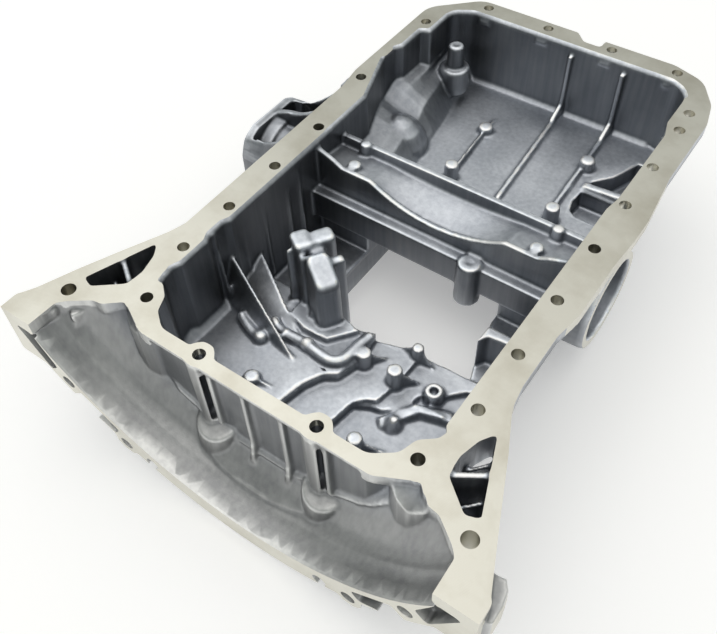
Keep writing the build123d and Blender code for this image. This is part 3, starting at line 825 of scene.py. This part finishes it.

# The cast skin is grey, cloudy, and streaked along the way it left the die, and a fine grain covers it all.
# Inside the tub it is painted bluer, and its walls and left side are painted darker as painted shade.
# Faces turned up are painted lighter as painted light, and the far chamber is painted a little lighter.
cast_alloy.use_nodes = True
cast_nodes = cast_alloy.node_tree.nodes
cast_links = cast_alloy.node_tree.links


def noise(nodes, links, place, scale, detail, roughness=0.5):
    """A noise texture's factor at a place."""
    texture = nodes.new("ShaderNodeTexNoise")
    texture.inputs["Scale"].default_value = scale
    texture.inputs["Detail"].default_value = detail
    texture.inputs["Roughness"].default_value = roughness
    links.new(place, texture.inputs["Vector"])
    return texture.outputs["Fac"]


def ranged(nodes, links, value, low, high, at_low, at_high, way="SMOOTHSTEP"):
    """A value's range from low to high turned into at_low to at_high."""
    node = nodes.new("ShaderNodeMapRange")
    node.interpolation_type = way
    node.inputs["From Min"].default_value = low
    node.inputs["From Max"].default_value = high
    node.inputs["To Min"].default_value = at_low
    node.inputs["To Max"].default_value = at_high
    links.new(value, node.inputs["Value"])
    return node.outputs["Result"]


def toned(nodes, links, value, *tones):
    """A colour that runs through tones, each given as a position and a colour."""
    ramp = nodes.new("ShaderNodeValToRGB")
    steps = ramp.color_ramp.elements
    if len(tones) == 3:
        steps.new(0.5)
    for i, (position, colour) in enumerate(tones):
        steps[i].position = position
        steps[i].color = (*colour, 1.0)
    links.new(value, ramp.inputs["Fac"])
    return ramp.outputs["Color"]


def scaled(nodes, links, colour, share):
    """A colour times a share."""
    node = nodes.new("ShaderNodeVectorMath")
    node.operation = "SCALE"
    links.new(colour, node.inputs["Vector"])
    links.new(share, node.inputs["Scale"])
    return node.outputs["Vector"]


def blended(nodes, links, factor, first, second):
    """The first colour where the factor is 0 and the second where it is 1."""
    node = nodes.new("ShaderNodeMix")
    node.data_type = "RGBA"
    links.new(factor, node.inputs["Factor"])
    links.new(first, node.inputs["A"])
    links.new(second, node.inputs["B"])
    return node.outputs["Result"]


def add_relief(nodes, links, shader, height, strength, depth):
    """Bumps a shader's surface by a height from 0 to 1, depth metres high."""
    relief = nodes.new("ShaderNodeBump")
    relief.inputs["Strength"].default_value = strength
    relief.inputs["Distance"].default_value = depth
    links.new(height, relief.inputs["Height"])
    links.new(relief.outputs["Normal"], shader.inputs["Normal"])


cast_shader = cast_nodes["Principled BSDF"]
cast_shader.inputs["Metallic"].default_value = 1.0
cast_place = cast_nodes.new("ShaderNodeTexCoord").outputs["Object"]
cast_parts = cast_nodes.new("ShaderNodeSeparateXYZ")
cast_links.new(cast_place, cast_parts.inputs["Vector"])
face_lean = cast_nodes.new("ShaderNodeNewGeometry")
lean_parts = cast_nodes.new("ShaderNodeSeparateXYZ")
cast_links.new(face_lean.outputs["Normal"], lean_parts.inputs["Vector"])

cloud = noise(cast_nodes, cast_links, cast_place, 22.0, 4.0)
streak_map = cast_nodes.new("ShaderNodeMapping")
streak_map.inputs["Scale"].default_value = (240.0, 240.0, 14.0)
cast_links.new(cast_place, streak_map.inputs["Vector"])
streak = noise(cast_nodes, cast_links, streak_map.outputs["Vector"], 1.0, 2.0)
mottle = cast_nodes.new("ShaderNodeMix")
mottle.inputs["Factor"].default_value = 0.4
cast_links.new(cloud, mottle.inputs["A"])
cast_links.new(streak, mottle.inputs["B"])
mottling = mottle.outputs["Result"]
# Inside the tub the casting gets a bluer copy of its colour, as painted shade for the blue-grey of the tub's
# inside.
tub_shaded_tone = toned(cast_nodes, cast_links, mottling, (0.36, (0.32, 0.34, 0.375)), (0.66, (0.48, 0.50, 0.535)))
bell_tone = toned(cast_nodes, cast_links, mottling, (0.36, (0.33, 0.335, 0.34)), (0.66, (0.46, 0.465, 0.465)))

bell_side = ranged(cast_nodes, cast_links, cast_parts.outputs["Y"], -0.058, -0.074, 0.0, 1.0)
# The far chamber is painted a little lighter, up to 1.08 times, as painted light.
far_painted_light = ranged(cast_nodes, cast_links, cast_parts.outputs["Y"], 0.14, 0.25, 1.0, 1.08)
# The tub's left side is painted darker, down to 0.62, as painted shade.
left_painted_shade = ranged(cast_nodes, cast_links, cast_parts.outputs["X"], -0.098, -0.07, 0.62, 1.0)
# Inside the tub, faces turned up are painted up to 1.34 times lighter and walls down to 0.6 darker: painted
# light and shade from above.
top_painted_light = ranged(cast_nodes, cast_links, lean_parts.outputs["Z"], 0.15, 0.75, 0.6, 1.34)
cast_tone = blended(cast_nodes, cast_links, bell_side, tub_shaded_tone, bell_tone)
far_painted_tone = scaled(cast_nodes, cast_links, cast_tone, far_painted_light)
painted_light_share = cast_nodes.new("ShaderNodeMath")
painted_light_share.operation = "MULTIPLY"
cast_links.new(top_painted_light, painted_light_share.inputs[0])
cast_links.new(left_painted_shade, painted_light_share.inputs[1])
tub_painted_light = scaled(cast_nodes, cast_links, far_painted_tone, painted_light_share.outputs["Value"])
tone_with_painted_light = blended(cast_nodes, cast_links, bell_side, tub_painted_light, far_painted_tone)

edge_read = cast_nodes.new("ShaderNodeAttribute")
edge_read.attribute_name = "edge_light_and_wear"
# Outer edges are brightened up to about twice as painted highlight, partly edge wear, and inner corners
# darkened as painted shade.
edge_highlight_and_shade = toned(cast_nodes, cast_links, edge_read.outputs["Fac"], (0.36, (0.86, 0.86, 0.87)),
                  (0.5, (1.0, 1.0, 1.0)), (0.68, (2.1, 2.08, 2.04)))
edge_painted_light = cast_nodes.new("ShaderNodeMix")
edge_painted_light.data_type = "RGBA"
edge_painted_light.blend_type = "MULTIPLY"
edge_painted_light.inputs["Factor"].default_value = 1.0
cast_links.new(tone_with_painted_light, edge_painted_light.inputs["A"])
cast_links.new(edge_highlight_and_shade, edge_painted_light.inputs["B"])
cast_links.new(edge_painted_light.outputs["Result"], cast_shader.inputs["Base Color"])
cast_gloss = ranged(cast_nodes, cast_links, cloud, 0.0, 1.0, 0.34, 0.54, "LINEAR")
cast_links.new(cast_gloss, cast_shader.inputs["Roughness"])
cast_grain = noise(cast_nodes, cast_links, cast_place, 900.0, 3.0)
add_relief(cast_nodes, cast_links, cast_shader, cast_grain, 0.35, 0.0003)

# The milled faces are brighter and warmer. They carry the cutter's arcs and a weak, cloudy stain.
milled_alloy.use_nodes = True
milled_nodes = milled_alloy.node_tree.nodes
milled_links = milled_alloy.node_tree.links
milled_shader = milled_nodes["Principled BSDF"]
milled_shader.inputs["Metallic"].default_value = 1.0
milled_place = milled_nodes.new("ShaderNodeTexCoord").outputs["Object"]
pass_map = milled_nodes.new("ShaderNodeMapping")
pass_map.inputs["Location"].default_value = (0.35, -0.12, 0.0)
milled_links.new(milled_place, pass_map.inputs["Vector"])
pass_wave = milled_nodes.new("ShaderNodeTexWave")
pass_wave.wave_type = "RINGS"
pass_wave.rings_direction = "Z"
pass_wave.inputs["Scale"].default_value = 260.0
pass_wave.inputs["Distortion"].default_value = 1.2
pass_wave.inputs["Detail"].default_value = 1.0
milled_links.new(pass_map.outputs["Vector"], pass_wave.inputs["Vector"])
add_relief(milled_nodes, milled_links, milled_shader, pass_wave.outputs["Fac"], 0.10, 0.0002)
stain = noise(milled_nodes, milled_links, milled_place, 16.0, 5.0, 0.62)
milled_tone = toned(milled_nodes, milled_links, stain, (0.30, (0.56, 0.535, 0.455)),
                    (0.56, (0.72, 0.705, 0.63)))
milled_links.new(milled_tone, milled_shader.inputs["Base Color"])
milled_gloss = ranged(milled_nodes, milled_links, stain, 0.0, 1.0, 0.24, 0.42, "LINEAR")
milled_links.new(milled_gloss, milled_shader.inputs["Roughness"])

pan = bpy.data.objects.new("oil_pan", pan_mesh)
bpy.context.scene.collection.objects.link(pan)
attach(pan, "root")
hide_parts("oil_pan_casting")
